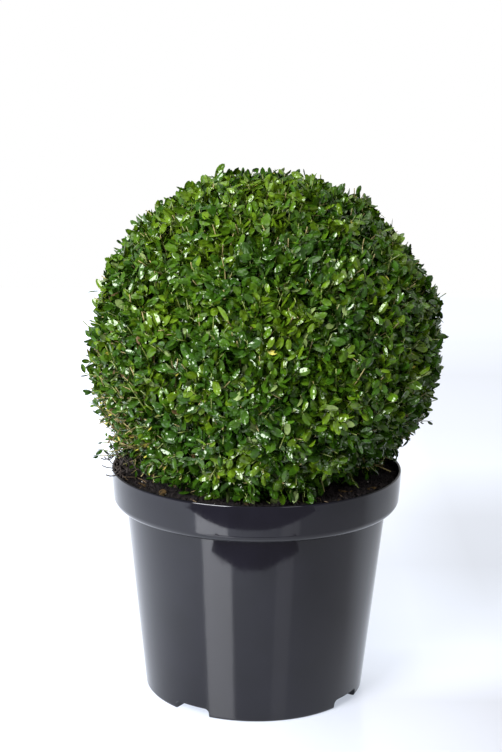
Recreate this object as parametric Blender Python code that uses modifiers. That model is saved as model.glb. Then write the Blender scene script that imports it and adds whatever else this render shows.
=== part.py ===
"""A clipped boxwood ball growing in a round plastic nursery pot.

Metres, +Z up. The origin is the middle of the pot's flat underside, and the front is -Y.
"""

import math
import random

import bmesh
import bpy
from mathutils import Matrix, Vector
from mathutils.bvhtree import BVHTree

# Pot
POT_HEIGHT = 0.251
RIM_RADIUS = 0.159
COLLAR_DEPTH = 0.0414
COLLAR_TAPER = 0.0013
SHOULDER_RADIUS = 0.0105
SHOULDER_ANGLE = math.radians(70)
SHOULDER_STEPS = 5
BODY_TOP_RADIUS = 0.1433
BASE_RADIUS = 0.1215
BASE_FILLET = 0.003
WALL = 0.0025
RIM_EDGE = 0.001
FLOOR_THICKNESS = 0.003
TURN_STEPS = 72

# Drainage pockets round the foot of the pot
POCKET_COUNT = 4
POCKET_FIRST_ANGLE = math.radians(-123.3)
POCKET_WIDTH = 0.044
POCKET_HEIGHT = 0.010
POCKET_DEPTH = 0.024
POCKET_CORNER = 0.005
POCKET_CORNER_STEPS = 4
DRAIN_RADIUS = 0.0045
DRAIN_OFFSET = 0.012

# Soil
SOIL_EDGE = 0.2385
SOIL_RISE = 0.0025
SOIL_RINGS = 4
GAP = 0.0003

# Clipped ball
BALL_CENTRE = Vector((0.0085, 0.0, 0.384))
BALL_RADIUS = 0.1965
CORE_SHARE = 0.855
CORE_ROUGHNESS = 0.005
CORE_FLOOR = 0.2475
OUTLINE_TILT = math.radians(12.6)
# Angle from +X round the outline seen from the front, height in metres and spread in degrees
OUTLINE_LUMPS = (
    (60, -0.005, 26),
    (56, 0.009, 7),
    (38, -0.004, 10),
    (14, 0.006, 10),
    (-6, -0.003, 9),
    (169, -0.007, 9),
    (107, 0.006, 7),
    (-146, 0.006, 16),
)
# Azimuth from +X, elevation, height and spread of the hollow over the soil at the right
HOLLOWS = ((-42, -44, -0.024, 15),)
RANDOM_LUMPS = 26
RANDOM_LUMP_HEIGHT = 0.005
RANDOM_LUMP_SPREAD = 16

# Stem inside the ball
STEM_RADIUS = 0.010
STEM_TIP_RADIUS = 0.0035
STEM_FLARE = 0.006
STEM_FLARE_HEIGHT = 0.012
STEM_TOP = 0.372
STEM_BOW = 0.004
STEM_POINTS = 14
STEM_UPRIGHT_FOOT = 0.002

# Twigs and leaves
TWIG_COUNT = 64
SHOOT_COUNT = 225
TWIG_RADIUS = 0.0021
TWIG_TAPER = 0.75
TWIG_ROOT = 0.008
TWIG_SCATTER = 0.05
TWIG_LEAN = 0.25
TWIG_SHORT_OF_OUTLINE = 0.011
SIDE_TWIG_LENGTH = 0.024
SIDE_TWIG_CHANCE = 0.5
SIDE_TWIG_FORK = 0.3
SIDE_TWIG_RISE = 0.75
SIDE_TWIG_SPREAD = math.radians(45)
SHOOT_SCATTER = 0.08
SHOOT_SPREAD_LEAST = math.radians(35)
SHOOT_SPREAD_MOST = math.radians(68)
# Place of each pair along the leafy part of a twig, and how far its leaves open in degrees
PAIRS_ON_TWIG = ((0.95, 50), (0.55, 66), (0.15, 74))
LEAF_LENGTH = 0.037
LEAF_WIDTH = 0.025
LEAF_THICKNESS = 0.0016
LEAF_CUP = 0.0016
LEAF_TILT = 0.3
LEAF_WIDEST_SPREAD = math.radians(115)
LEAF_OPENING_STEP = math.radians(4)
LEAF_SINK = 0.0012
SHOOT_SINK = 0.005
LEAF_CLEARANCE = 0.003
SEED = 11


def remove_everything():
    for obj in list(bpy.data.objects):
        bpy.data.objects.remove(obj, do_unlink=True)
    for collection in list(bpy.data.collections):
        bpy.data.collections.remove(collection)


def new_collection(name):
    collection = bpy.data.collections.new(name)
    bpy.context.scene.collection.children.link(collection)
    return collection


def principled(name, colour, roughness):
    material = bpy.data.materials.new(name)
    material.use_nodes = True
    shader = material.node_tree.nodes["Principled BSDF"]
    shader.inputs["Base Color"].default_value = (*colour, 1.0)
    shader.inputs["Roughness"].default_value = roughness
    shader.inputs["Metallic"].default_value = 0.0
    material.diffuse_color = (*colour, 1.0)
    return material


def add_object(name, mesh, collection, material=None):
    obj = bpy.data.objects.new(name, mesh)
    collection.objects.link(obj)
    if material:
        mesh.materials.clear()
        mesh.materials.append(material)
    return obj


def mesh_from_bmesh(name, bm):
    mesh = bpy.data.meshes.new(name)
    bm.to_mesh(mesh)
    bm.free()
    return mesh


def as_helper(obj):
    obj.hide_render = True
    obj.display_type = "WIRE"
    return obj


def add_boolean(obj, operation, other, solver="EXACT"):
    """A Boolean with one object, or with every object of a collection."""
    modifier = obj.modifiers.new(operation.lower(), "BOOLEAN")
    modifier.operation = operation
    modifier.solver = solver
    if isinstance(other, bpy.types.Collection):
        modifier.operand_type = "COLLECTION"
        modifier.collection = other
    else:
        modifier.object = other


def apply_modifiers(obj):
    graph = bpy.context.evaluated_depsgraph_get()
    mesh = bpy.data.meshes.new_from_object(obj.evaluated_get(graph))
    old = obj.data
    obj.modifiers.clear()
    obj.data = mesh
    bpy.data.meshes.remove(old)


def shade_round(obj, angle_degrees):
    obj.data.shade_smooth()
    obj.data.set_sharp_from_angle(angle=math.radians(angle_degrees))


def turned(name, profile, collection, material=None):
    """A solid of revolution about Z from (radius, height) points that run down its outer side."""
    mesh = bpy.data.meshes.new(name)
    points = [(radius, 0.0, height) for radius, height in profile]
    edges = [(i, i + 1) for i in range(len(points) - 1)]
    mesh.from_pydata(points, edges, [])
    obj = add_object(name, mesh, collection, material)
    screw = obj.modifiers.new("turn", "SCREW")
    screw.steps = TURN_STEPS
    screw.render_steps = TURN_STEPS
    screw.use_merge_vertices = True
    screw.merge_threshold = 0.00001
    screw.use_normal_calculate = False
    apply_modifiers(obj)
    return obj


def collar_foot_height():
    return POT_HEIGHT - COLLAR_DEPTH


def collar_radius(height):
    """Outer radius of the tapered collar, above its rounded shoulder."""
    straight = COLLAR_DEPTH - SHOULDER_RADIUS
    return RIM_RADIUS - COLLAR_TAPER * (POT_HEIGHT - height) / straight


def side_profile(inset):
    """The pot's side below the rim, moved inwards by inset, from the shoulder down to the base."""
    centre_height = collar_foot_height() + SHOULDER_RADIUS
    centre_radius = collar_radius(centre_height) - SHOULDER_RADIUS
    arc_radius = SHOULDER_RADIUS - inset
    points = []
    for step in range(SHOULDER_STEPS + 1):
        angle = SHOULDER_ANGLE * step / SHOULDER_STEPS
        radius = centre_radius + arc_radius * math.cos(angle)
        points.append((radius, centre_height - arc_radius * math.sin(angle)))
    points.append((BODY_TOP_RADIUS - inset, collar_foot_height() + inset))
    return points


def make_pot(collection, cutters, material):
    """The shell with its stepped collar, and pockets round its foot that drain it."""
    profile = [(0.0, FLOOR_THICKNESS)]
    profile.append((BASE_RADIUS - WALL, FLOOR_THICKNESS))
    profile.extend(reversed(side_profile(WALL)))
    profile.append((RIM_RADIUS - WALL, POT_HEIGHT - RIM_EDGE))
    profile.append((RIM_RADIUS - WALL + RIM_EDGE, POT_HEIGHT))
    profile.append((RIM_RADIUS - RIM_EDGE, POT_HEIGHT))
    profile.append((RIM_RADIUS, POT_HEIGHT - RIM_EDGE))
    profile.extend(side_profile(0.0))
    profile.append((BASE_RADIUS, BASE_FILLET))
    profile.append((BASE_RADIUS - BASE_FILLET * 0.3, BASE_FILLET * 0.3))
    profile.append((BASE_RADIUS - BASE_FILLET, 0.0))
    profile.append((0.0, 0.0))
    pot = turned("pot", profile, collection, material)
    housings = new_collection("pocket_housings")
    for index in range(POCKET_COUNT):
        housing = pocket_block(f"housing_{index}", index, WALL, housings)
        add_boolean(housing, "INTERSECT", inside_of_wall(cutters))
        apply_modifiers(housing)
        add_boolean(pot, "UNION", housing)
    apply_modifiers(pot)
    for index in range(POCKET_COUNT):
        add_boolean(pot, "DIFFERENCE", pocket_block(f"pocket_{index}", index, 0.0, cutters))
        add_boolean(pot, "DIFFERENCE", drain_drill(index, cutters))
    apply_modifiers(pot)
    shade_round(pot, 35)
    for helper in list(housings.objects):
        bpy.data.objects.remove(helper, do_unlink=True)
    bpy.data.collections.remove(housings)
    return pot


def inside_of_wall(cutters):
    """A plug that reaches the middle of the wall at the pot's foot, which trims the pocket housings."""
    name = "wall_plug"
    if name in bpy.data.objects:
        return bpy.data.objects[name]
    bm = bmesh.new()
    bmesh.ops.create_cone(
        bm,
        cap_ends=True,
        segments=TURN_STEPS,
        radius1=BASE_RADIUS - WALL / 2,
        radius2=BASE_RADIUS - WALL / 2,
        depth=2 * POCKET_HEIGHT,
    )
    bmesh.ops.translate(bm, verts=bm.verts, vec=(0, 0, POCKET_HEIGHT + FLOOR_THICKNESS / 2))
    return as_helper(add_object(name, mesh_from_bmesh(name, bm), cutters))


def pocket_frame(index):
    """Turns +X to the pocket's own direction."""
    angle = POCKET_FIRST_ANGLE + index * math.tau / POCKET_COUNT
    return Matrix.Rotation(angle, 4, "Z")


def pocket_block(name, index, grow, collection):
    """An arched tunnel section swept outwards along the pocket's direction, grown evenly by grow."""
    half = POCKET_WIDTH / 2 + grow
    top = POCKET_HEIGHT + grow
    corner = POCKET_CORNER + grow
    foot = FLOOR_THICKNESS / 2 if grow else -BASE_FILLET
    start = BASE_RADIUS - POCKET_DEPTH - grow
    end = BASE_RADIUS + POCKET_HEIGHT
    outline = [(-half, foot), (half, foot)]
    for side, first in ((1, 0.0), (-1, math.pi / 2)):
        for step in range(POCKET_CORNER_STEPS + 1):
            angle = first + math.pi / 2 * step / POCKET_CORNER_STEPS
            across = side * (half - corner) + corner * math.cos(angle)
            outline.append((across, top - corner + corner * math.sin(angle)))
    bm = bmesh.new()
    face = bm.faces.new([bm.verts.new((start, across, height)) for across, height in outline])
    swept = bmesh.ops.extrude_face_region(bm, geom=[face])
    moved = [item for item in swept["geom"] if isinstance(item, bmesh.types.BMVert)]
    bmesh.ops.translate(bm, verts=moved, vec=(end - start, 0, 0))
    bmesh.ops.transform(bm, matrix=pocket_frame(index), verts=bm.verts)
    bmesh.ops.recalc_face_normals(bm, faces=bm.faces)
    return as_helper(add_object(name, mesh_from_bmesh(name, bm), collection))


def drain_drill(index, cutters):
    """A round hole up through the roof of a pocket."""
    bm = bmesh.new()
    bmesh.ops.create_cone(
        bm,
        cap_ends=True,
        segments=16,
        radius1=DRAIN_RADIUS,
        radius2=DRAIN_RADIUS,
        depth=POCKET_HEIGHT,
    )
    place = Vector((BASE_RADIUS - DRAIN_OFFSET, 0, POCKET_HEIGHT))
    bmesh.ops.translate(bm, verts=bm.verts, vec=place)
    bmesh.ops.transform(bm, matrix=pocket_frame(index), verts=bm.verts)
    name = f"drain_{index}"
    return as_helper(add_object(name, mesh_from_bmesh(name, bm), cutters))


def make_soil(collection, cutters, material):
    """The root ball that fills the pot to just under its rim."""
    inset = WALL + GAP
    profile = [(0.0, SOIL_EDGE + SOIL_RISE)]
    edge_radius = collar_radius(SOIL_EDGE) - inset
    for ring in range(1, SOIL_RINGS + 1):
        share = ring / SOIL_RINGS
        height = SOIL_EDGE + SOIL_RISE * (1 + math.cos(math.pi * share)) / 2
        profile.append((edge_radius * share, height))
    profile.extend(side_profile(inset))
    profile.append((BASE_RADIUS - inset, FLOOR_THICKNESS + GAP))
    profile.append((0.0, FLOOR_THICKNESS + GAP))
    soil = turned("soil", profile, collection, material)
    for index in range(POCKET_COUNT):
        name = f"soil_pocket_{index}"
        add_boolean(soil, "DIFFERENCE", pocket_block(name, index, inset, cutters))
    apply_modifiers(soil)
    shade_round(soil, 35)
    return soil


def stem_point(share):
    """Middle of the stem, from the soil at 0 to its tip at 1: upright at its foot, then leaning."""
    foot_height = SOIL_EDGE + SOIL_RISE + GAP
    lean = share * share * (3 - 2 * share)
    along_x = BALL_CENTRE.x * lean
    along_y = STEM_BOW * math.sin(math.pi * share) * share
    return Vector((along_x, along_y, foot_height + (STEM_TOP - foot_height) * share))


def stem_radius(share):
    height = (STEM_TOP - SOIL_EDGE) * share
    flare = STEM_FLARE * math.exp(-height / STEM_FLARE_HEIGHT)
    return STEM_RADIUS + (STEM_TIP_RADIUS - STEM_RADIUS) * share + flare


def limb_mesh(name, grow):
    """The stem as a closed mesh, made thicker and longer by grow."""
    curve = bpy.data.curves.new(name, "CURVE")
    curve.dimensions = "3D"
    curve.bevel_depth = 1.0
    curve.bevel_resolution = 3
    curve.use_fill_caps = True
    spline = curve.splines.new("POLY")
    spline.points.add(STEM_POINTS)
    shares = [max(0.0, (i - 1) / (STEM_POINTS - 1)) for i in range(STEM_POINTS + 1)]
    for index, share in enumerate(shares):
        point = stem_point(share)
        if index == 1:
            point.z += STEM_UPRIGHT_FOOT
        if index == 0:
            point.z -= grow
        if index == STEM_POINTS:
            point.z += grow
        spline.points[index].co = (*point, 1.0)
        spline.points[index].radius = stem_radius(share) + grow
    source = bpy.data.objects.new(name + "_curve", curve)
    bpy.context.scene.collection.objects.link(source)
    graph = bpy.context.evaluated_depsgraph_get()
    mesh = bpy.data.meshes.new_from_object(source.evaluated_get(graph))
    bpy.data.objects.remove(source, do_unlink=True)
    bm = bmesh.new()
    bm.from_mesh(mesh)
    bmesh.ops.remove_doubles(bm, verts=bm.verts, dist=0.00001)
    bmesh.ops.recalc_face_normals(bm, faces=bm.faces)
    bpy.data.meshes.remove(mesh)
    return mesh_from_bmesh(name, bm)


def make_stem(collection, material):
    stem = add_object("stem", limb_mesh("stem", 0.0), collection, material)
    shade_round(stem, 60)
    return stem


def direction_at(azimuth, elevation):
    level = math.cos(elevation)
    return Vector((level * math.cos(azimuth), level * math.sin(azimuth), math.sin(elevation)))


def outline_direction(angle):
    """A direction on the ring of the ball that is square to the front view."""
    up = Vector((0, math.sin(OUTLINE_TILT), math.cos(OUTLINE_TILT)))
    return Vector((1, 0, 0)) * math.cos(angle) + up * math.sin(angle)


def ball_lumps():
    """The lumps that clipping left: (direction, height, spread) of each."""
    draw = random.Random(SEED)
    lumps = []
    for angle, height, spread in OUTLINE_LUMPS:
        lumps.append((outline_direction(math.radians(angle)), height, math.radians(spread)))
    for _ in range(RANDOM_LUMPS):
        direction = direction_at(draw.uniform(0, math.tau), math.asin(draw.uniform(-0.6, 1.0)))
        height = draw.uniform(-RANDOM_LUMP_HEIGHT, RANDOM_LUMP_HEIGHT)
        near_outline = abs(direction.dot(outline_direction(0).cross(outline_direction(math.pi / 2))))
        height *= min(1.0, near_outline * 2)
        lumps.append((direction, height, math.radians(RANDOM_LUMP_SPREAD)))
    for azimuth, elevation, height, spread in HOLLOWS:
        direction = direction_at(math.radians(azimuth), math.radians(elevation))
        lumps.append((direction, height, math.radians(spread)))
    return lumps


def reach_in(direction, lumps):
    """Distance from the ball's centre to its outline in this direction."""
    reach = BALL_RADIUS
    for middle, height, spread in lumps:
        angle = middle.angle(direction)
        reach += height * math.exp(-((angle / spread) ** 2))
    return reach


def make_core(name, lumps, collection, cutters):
    """The dense inside of the ball, flat below where it stands clear of the soil."""
    bm = bmesh.new()
    bmesh.ops.create_icosphere(bm, subdivisions=3, radius=1.0)
    draw = random.Random(SEED)
    for vertex in bm.verts:
        direction = vertex.co.normalized()
        rough = draw.uniform(-CORE_ROUGHNESS, CORE_ROUGHNESS)
        vertex.co = BALL_CENTRE + direction * (reach_in(direction, lumps) * CORE_SHARE + rough)
    core = add_object(name, mesh_from_bmesh(name, bm), collection)
    block = bmesh.new()
    size = 4 * BALL_RADIUS
    bmesh.ops.create_cube(block, size=size)
    bmesh.ops.translate(block, verts=block.verts, vec=(0, 0, CORE_FLOOR - size / 2))
    below = as_helper(add_object("below_core", mesh_from_bmesh("below_core", block), cutters))
    add_boolean(core, "DIFFERENCE", below)
    apply_modifiers(core)
    return core


def evenly_spread(count):
    """Directions spread evenly over a sphere on a spiral."""
    turn = math.pi * (3 - math.sqrt(5))
    for index in range(count):
        height = 1 - (2 * index + 1) / count
        yield direction_at(index * turn, math.asin(height))


def is_free(point, lumps):
    """Whether a point of a twig or leaf keeps inside the outline and clear of soil, pot and stem."""
    offset = point - BALL_CENTRE
    if offset.length > reach_in(offset, lumps):
        return False
    from_axis = math.hypot(point.x, point.y)
    soil_height = SOIL_EDGE + SOIL_RISE + LEAF_CLEARANCE
    if point.z < soil_height:
        return False
    if point.z < POT_HEIGHT + LEAF_CLEARANCE:
        inner = collar_radius(point.z) - WALL - LEAF_CLEARANCE
        if from_axis > inner:
            return False
    return from_axis > 4 * STEM_RADIUS or point.z > CORE_FLOOR + STEM_RADIUS


def tree_of(mesh):
    """The faces of a mesh in a form that is quick to test for touching."""
    points = [vertex.co for vertex in mesh.vertices]
    return BVHTree.FromPolygons(points, [polygon.vertices for polygon in mesh.polygons])


def twig_mesh(name, start, end, start_radius, end_radius):
    """A three-sided tapering stick."""
    axis = end - start
    bm = bmesh.new()
    bmesh.ops.create_cone(
        bm,
        cap_ends=True,
        segments=3,
        radius1=start_radius,
        radius2=end_radius,
        depth=axis.length,
    )
    turn = axis.to_track_quat("Z", "Y").to_matrix().to_4x4()
    place = Matrix.Translation((start + end) / 2) @ turn
    bmesh.ops.transform(bm, matrix=place, verts=bm.verts)
    return mesh_from_bmesh(name, bm)


def leaf_frame(root, along, facing):
    """Turns +X along the leaf and +Z to its face."""
    along = along.normalized()
    across = facing.cross(along).normalized()
    normal = along.cross(across)
    turn = Matrix((along, across, normal)).transposed().to_4x4()
    return Matrix.Translation(root) @ turn


def leaf_mesh(name, frame, length):
    """A cupped leaf of eight faces: an octahedron drawn out to the leaf's length and width."""
    bm = bmesh.new()
    bmesh.ops.create_cone(bm, cap_ends=False, segments=4, radius1=1.0, radius2=0.0, depth=1.0)
    bmesh.ops.translate(bm, verts=bm.verts, vec=(0, 0, 0.5))
    mirrored = bmesh.ops.duplicate(bm, geom=bm.verts[:] + bm.edges[:] + bm.faces[:])
    copied = [item for item in mirrored["geom"] if isinstance(item, bmesh.types.BMVert)]
    bmesh.ops.scale(bm, verts=copied, vec=(1, 1, -1))
    bmesh.ops.remove_doubles(bm, verts=bm.verts, dist=0.001)
    bmesh.ops.recalc_face_normals(bm, faces=bm.faces)
    for vertex in bm.verts:
        along, across, up = vertex.co
        vertex.co.x = (along + 1) / 2 * length
        vertex.co.y = across * LEAF_WIDTH / 2
        vertex.co.z = up * LEAF_THICKNESS / 2 + abs(across) * LEAF_CUP
    bmesh.ops.transform(bm, matrix=frame, verts=bm.verts)
    return mesh_from_bmesh(name, bm)


def leaf_samples(frame, length):
    for share in (0.15, 0.4, 0.7, 1.0):
        half = LEAF_WIDTH / 2 * (1 - abs(2 * share - 1))
        for across in (-half, 0.0, half):
            yield frame @ Vector((share * length, across, LEAF_CUP / 2))


class Sprays:
    """Grows twigs and leaves out of the core by a seeded rule, and keeps them apart."""

    def __init__(self, core, lumps, collection):
        self.core = tree_of(core.data)
        self.lumps = lumps
        self.collection = collection
        self.draw = random.Random(SEED)
        self.trees = []
        self.own_twig = None

    def jitter(self, direction, amount):
        noise = Vector([self.draw.uniform(-1, 1) for _ in range(3)])
        return (direction + noise * amount).normalized()

    def reach(self, offset):
        return reach_in(offset, self.lumps)

    def core_surface(self, direction):
        """The point where this direction from the ball's centre leaves the core."""
        return self.core.ray_cast(BALL_CENTRE, direction)[0]

    def keep(self, mesh):
        """Adds a piece, and remembers its faces so that others stay off it."""
        as_helper(add_object(mesh.name, mesh, self.collection))
        self.trees.append(tree_of(mesh))

    def touches_others(self, mesh):
        tree = tree_of(mesh)
        own = self.own_twig
        return any(tree.overlap(other) for i, other in enumerate(self.trees) if i != own)

    def add_twig(self, start, end):
        shares = (0.25, 0.5, 0.75, 1.0)
        if not all(is_free(start.lerp(end, share), self.lumps) for share in shares):
            return False
        mesh = twig_mesh("twig", start, end, TWIG_RADIUS, TWIG_RADIUS * TWIG_TAPER)
        if self.touches_others(mesh):
            bpy.data.meshes.remove(mesh)
            return False
        self.own_twig = len(self.trees)
        self.keep(mesh)
        return True

    def add_leaf(self, root, along, facing, length):
        frame = leaf_frame(root, along, facing)
        samples = list(leaf_samples(frame, length))
        if not all(is_free(point, self.lumps) for point in samples):
            return
        mesh = leaf_mesh("leaf", frame, length)
        if self.touches_others(mesh):
            bpy.data.meshes.remove(mesh)
            return
        self.keep(mesh)

    def add_pair(self, root, direction, spread, turn, sink):
        """Two opposite leaves, opened until their tips are in the outline."""
        side = Matrix.Rotation(turn, 3, direction) @ direction.orthogonal().normalized()
        outward = (root - BALL_CENTRE).normalized()
        for sign in (1, -1):
            length = LEAF_LENGTH * self.draw.uniform(0.85, 1.1)
            opened = spread
            along = direction
            while opened < LEAF_WIDEST_SPREAD:
                along = direction * math.cos(opened) + side * sign * math.sin(opened)
                tip = root + along * (length + LEAF_THICKNESS) - BALL_CENTRE
                if tip.length < self.reach(tip):
                    break
                opened += LEAF_OPENING_STEP
            facing = self.jitter(outward, LEAF_TILT)
            self.add_leaf(root - along * sink, along.normalized(), facing, length)

    def add_spray(self, start, bare, direction, length):
        """One twig with opposite pairs of leaves past its bare length, each turned from the last."""
        end = start + direction * length
        if not self.add_twig(start, end):
            return False
        turn = self.draw.uniform(0, math.tau)
        bare_share = bare / length
        for share, spread in PAIRS_ON_TWIG:
            root = start.lerp(end, bare_share + (1 - bare_share) * share)
            self.add_pair(root, direction, math.radians(spread), turn, LEAF_SINK)
            turn += math.pi / 2
        return True

    def grow_twig(self, direction):
        """A main twig out of the core, and a side twig that branches from it."""
        direction = self.jitter(direction, TWIG_SCATTER)
        start = self.core_surface(direction) - direction * TWIG_ROOT
        short = self.draw.uniform(0.8, 1.3) * TWIG_SHORT_OF_OUTLINE
        heading = self.jitter(direction, TWIG_LEAN)
        length = self.reach(direction) - short - (start - BALL_CENTRE).length
        if not self.add_spray(start, TWIG_ROOT, heading, length):
            return
        sideways = Matrix.Rotation(self.draw.uniform(0, math.tau), 3, direction)
        leaning = sideways @ direction.orthogonal().normalized()
        side_heading = (direction * SIDE_TWIG_RISE + leaning).normalized()
        if self.draw.random() < SIDE_TWIG_CHANCE:
            self.add_side_twig(start + heading * length * SIDE_TWIG_FORK, side_heading)

    def add_side_twig(self, fork, heading):
        """A short twig that ends in one pair of leaves."""
        end = fork + heading * SIDE_TWIG_LENGTH
        if is_free(end, self.lumps):
            radius = TWIG_RADIUS * TWIG_TAPER
            mesh = twig_mesh("twig", fork, end, radius, radius)
            self.own_twig = len(self.trees)
            self.keep(mesh)
            turn = self.draw.uniform(0, math.tau)
            self.add_pair(end - heading * radius, heading, SIDE_TWIG_SPREAD, turn, LEAF_SINK)

    def grow_shoot(self, direction):
        """A pair of leaves whose twig is still inside the core."""
        direction = self.jitter(direction, SHOOT_SCATTER)
        root = self.core_surface(direction)
        self.own_twig = None
        turn = self.draw.uniform(0, math.tau)
        spread = self.draw.uniform(SHOOT_SPREAD_LEAST, SHOOT_SPREAD_MOST)
        self.add_pair(root, direction, spread, turn, SHOOT_SINK)


def keep_largest_shell(obj):
    """Fills hollows that fusing sealed and drops loose scraps, by keeping the largest outer shell."""
    bm = bmesh.new()
    bm.from_mesh(obj.data)
    unseen = set(bm.faces)
    shells = []
    while unseen:
        stack = [unseen.pop()]
        shell = list(stack)
        while stack:
            face = stack.pop()
            for edge in face.edges:
                for other in edge.link_faces if edge.is_manifold else ():
                    if other in unseen:
                        unseen.discard(other)
                        stack.append(other)
                        shell.append(other)
        shells.append(shell)
    shells.sort(key=len, reverse=True)
    extra = [face for shell in shells[1:] for face in shell]
    bmesh.ops.delete(bm, geom=extra, context="FACES")
    bmesh.ops.triangulate(bm, faces=bm.faces)
    bm.to_mesh(obj.data)
    bm.free()


def make_foliage(collection, cutters, material):
    """The clipped ball: a dense core with twigs and leaves that stand out of it, clear of the stem."""
    lumps = ball_lumps()
    ball = make_core("foliage_ball", lumps, collection, cutters)
    pieces = new_collection("sprays")
    sprays = Sprays(ball, lumps, pieces)
    for direction in evenly_spread(TWIG_COUNT):
        sprays.grow_twig(direction)
    for direction in evenly_spread(SHOOT_COUNT):
        sprays.grow_shoot(direction)
    add_boolean(ball, "UNION", pieces, solver="MANIFOLD")
    apply_modifiers(ball)
    for piece in list(pieces.objects):
        mesh = piece.data
        bpy.data.objects.remove(piece, do_unlink=True)
        bpy.data.meshes.remove(mesh)
    bpy.data.collections.remove(pieces)
    clearance = as_helper(add_object("stem_clearance", limb_mesh("stem_clearance", GAP), cutters))
    add_boolean(ball, "DIFFERENCE", clearance)
    apply_modifiers(ball)
    keep_largest_shell(ball)
    ball.data.materials.clear()
    ball.data.materials.append(material)
    return ball


def main():
    remove_everything()
    collection = new_collection("potted_boxwood_ball")
    cutters = new_collection("cutters")
    cutters.hide_render = True
    plastic = principled("pot_plastic", (0.035, 0.036, 0.045), 0.3)
    peat = principled("peat", (0.018, 0.011, 0.008), 0.95)
    bark = principled("bark", (0.19, 0.15, 0.10), 0.85)
    leaves = principled("leaves", (0.055, 0.14, 0.025), 0.4)
    make_pot(collection, cutters, plastic)
    make_soil(collection, cutters, peat)
    make_stem(collection, bark)
    make_foliage(collection, cutters, leaves)


main()
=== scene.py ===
"""Looks of a clipped boxwood ball in a round plastic nursery pot.

Metres, +Z up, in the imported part's own frame: the origin is the middle of the pot's flat underside and
the front is -Y. Pot, stem and foliage take the places of the part's nodes, and the soil is covered.
"""

import math
import random

import bmesh
import bpy
import numpy as np
from mathutils import Matrix, Vector, noise


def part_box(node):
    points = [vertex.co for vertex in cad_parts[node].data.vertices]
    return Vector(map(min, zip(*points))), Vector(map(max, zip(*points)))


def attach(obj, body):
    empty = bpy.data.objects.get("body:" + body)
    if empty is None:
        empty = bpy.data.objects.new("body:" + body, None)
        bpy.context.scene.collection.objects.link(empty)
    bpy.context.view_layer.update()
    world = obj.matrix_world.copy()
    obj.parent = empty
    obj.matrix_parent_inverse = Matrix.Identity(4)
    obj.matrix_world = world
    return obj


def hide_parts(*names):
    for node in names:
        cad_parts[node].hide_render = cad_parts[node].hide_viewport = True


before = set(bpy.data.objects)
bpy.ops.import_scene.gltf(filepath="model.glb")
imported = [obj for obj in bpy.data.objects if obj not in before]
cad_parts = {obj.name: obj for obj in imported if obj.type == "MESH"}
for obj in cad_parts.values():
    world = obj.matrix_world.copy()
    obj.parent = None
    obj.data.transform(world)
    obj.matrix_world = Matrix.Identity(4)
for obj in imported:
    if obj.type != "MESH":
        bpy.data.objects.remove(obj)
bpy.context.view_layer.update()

# Pot
POT_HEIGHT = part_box("pot")[1].z
RIM_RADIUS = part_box("pot")[1].x
COLLAR_DEPTH = 0.0414
# How far the collar narrows at first and, as it curves in, by its lower end
COLLAR_TAPER = (0.0005, 0.0011)
COLLAR_STEPS = 6
SHOULDER_RADIUS = 0.0105
SHOULDER_ANGLES = (math.radians(12), math.radians(70))
SHOULDER_STEPS = 12
FILLET_STEPS = 4
RIM_STEPS = 8
# Distance from a curve's end to the ring that keeps a straight wall's shading straight
HOLD = 0.0006
BODY_TOP_RADIUS = 0.1433
BASE_RADIUS = 0.1215
BASE_FILLET = 0.003
WALL = 0.0025
FLOOR_THICKNESS = 0.003
POT_TURN_STEPS = 192
POCKET_COUNT = 4
POCKET_FIRST_ANGLE = math.radians(-123.3)
POCKET_WIDTH = 0.044
POCKET_HEIGHT = 0.010
POCKET_DEPTH = 0.024
POCKET_CORNER = 0.005
POCKET_CORNER_STEPS = 8
DRAIN_RADIUS = 0.0045
DRAIN_OFFSET = 0.012
DRAIN_SIDES = 32
PLUG_DEPTH = 0.03
SHARP_ANGLE = math.radians(32)
PLASTIC_ROUGHNESS = (0.04, 0.09)
PLASTIC_IOR = 1.45

# Soil
SOIL_EDGE = 0.2385
SOIL_RISE = 0.0025
GAP = 0.0003

# Clipped ball
BALL_CENTRE = Vector((0.0085, 0.0, 0.384))
BALL_RADIUS = 0.1965
OUTLINE_TILT = math.radians(12.6)
# Angle round the silhouette from +X, height and spread of its lumps and dips
OUTLINE_LUMPS = (
    (60, -0.005, 26), (56, 0.009, 7), (38, -0.004, 10), (14, 0.006, 10),
    (-6, -0.003, 9), (169, -0.007, 9), (107, 0.006, 7), (-146, 0.006, 16),
)
# Finer lumps and dips of the leaves alone
LEAF_LUMPS = (
    (82, -0.0062, 14), (58, 0.005, 4), (40, -0.003, 4), (106, -0.002, 4),
    (130, -0.002, 4), (138, 0.007, 4), (147, -0.003, 3), (170, -0.011, 4),
    (-174, 0.006, 6), (-159, 0.006, 8), (-143, 0.012, 6), (-5, -0.0032, 24),
    (-22, -0.003, 5), (-39, -0.007, 7),
)
RANDOM_LUMPS = 26
RANDOM_LUMP_HEIGHT = 0.005
RANDOM_LUMP_SPREAD = 16
RANDOM_LUMP_LOWEST = -0.6
LUMP_SEED = 11
# Azimuth from +X, elevation, height and spread of the hollow over the soil that shows at the right
HOLLOWS = ((-42, -44, -0.024, 15),)
# The same for dark openings among the leaves
LEAF_HOLLOWS = (
    (-112, -15, -0.022, 3.6), (-142, 43, -0.018, 3.2), (-100, 64, -0.016, 3.2),
    (-60, 59, -0.016, 3.2), (-40, -3, -0.016, 3.2), (-61, 40, -0.012, 3.0),
    (97, -8, -0.020, 3.5), (60, 38, -0.018, 3.2), (150, 20, -0.018, 3.2),
)

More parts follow.
